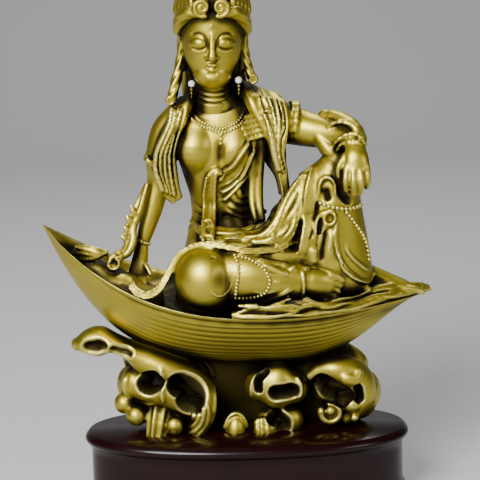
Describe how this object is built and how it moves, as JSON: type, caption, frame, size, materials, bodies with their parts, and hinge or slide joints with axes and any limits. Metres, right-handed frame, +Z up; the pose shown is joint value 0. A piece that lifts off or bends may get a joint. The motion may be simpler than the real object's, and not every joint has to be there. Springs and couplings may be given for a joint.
{
  "type": "guanyin figure",
  "caption": "Seated guanyin figure in royal ease on a boat-shaped leaf over curling waves, an antique gold casting on an oval dark red lacquered plinth.",
  "frame": {"origin": "centre of the plinth's underside", "axes": "+Z up, the figure faces -Y, and +X points along the leaf towards its low tip"},
  "size_m": [0.222, 0.088, 0.3224],
  "materials": {
    "antique_gold": "satin antique gold with dark recesses",
    "red_lacquer": "high gloss dark red lacquer",
    "cut_stone": "clear cut glass"
  },
  "bodies": {
    "root": {"guanyin_on_leaf": "antique_gold", "plinth": "red_lacquer", "ear_stone_right": "cut_stone", "ear_stone_left": "cut_stone"}
  },
  "joints": []
}
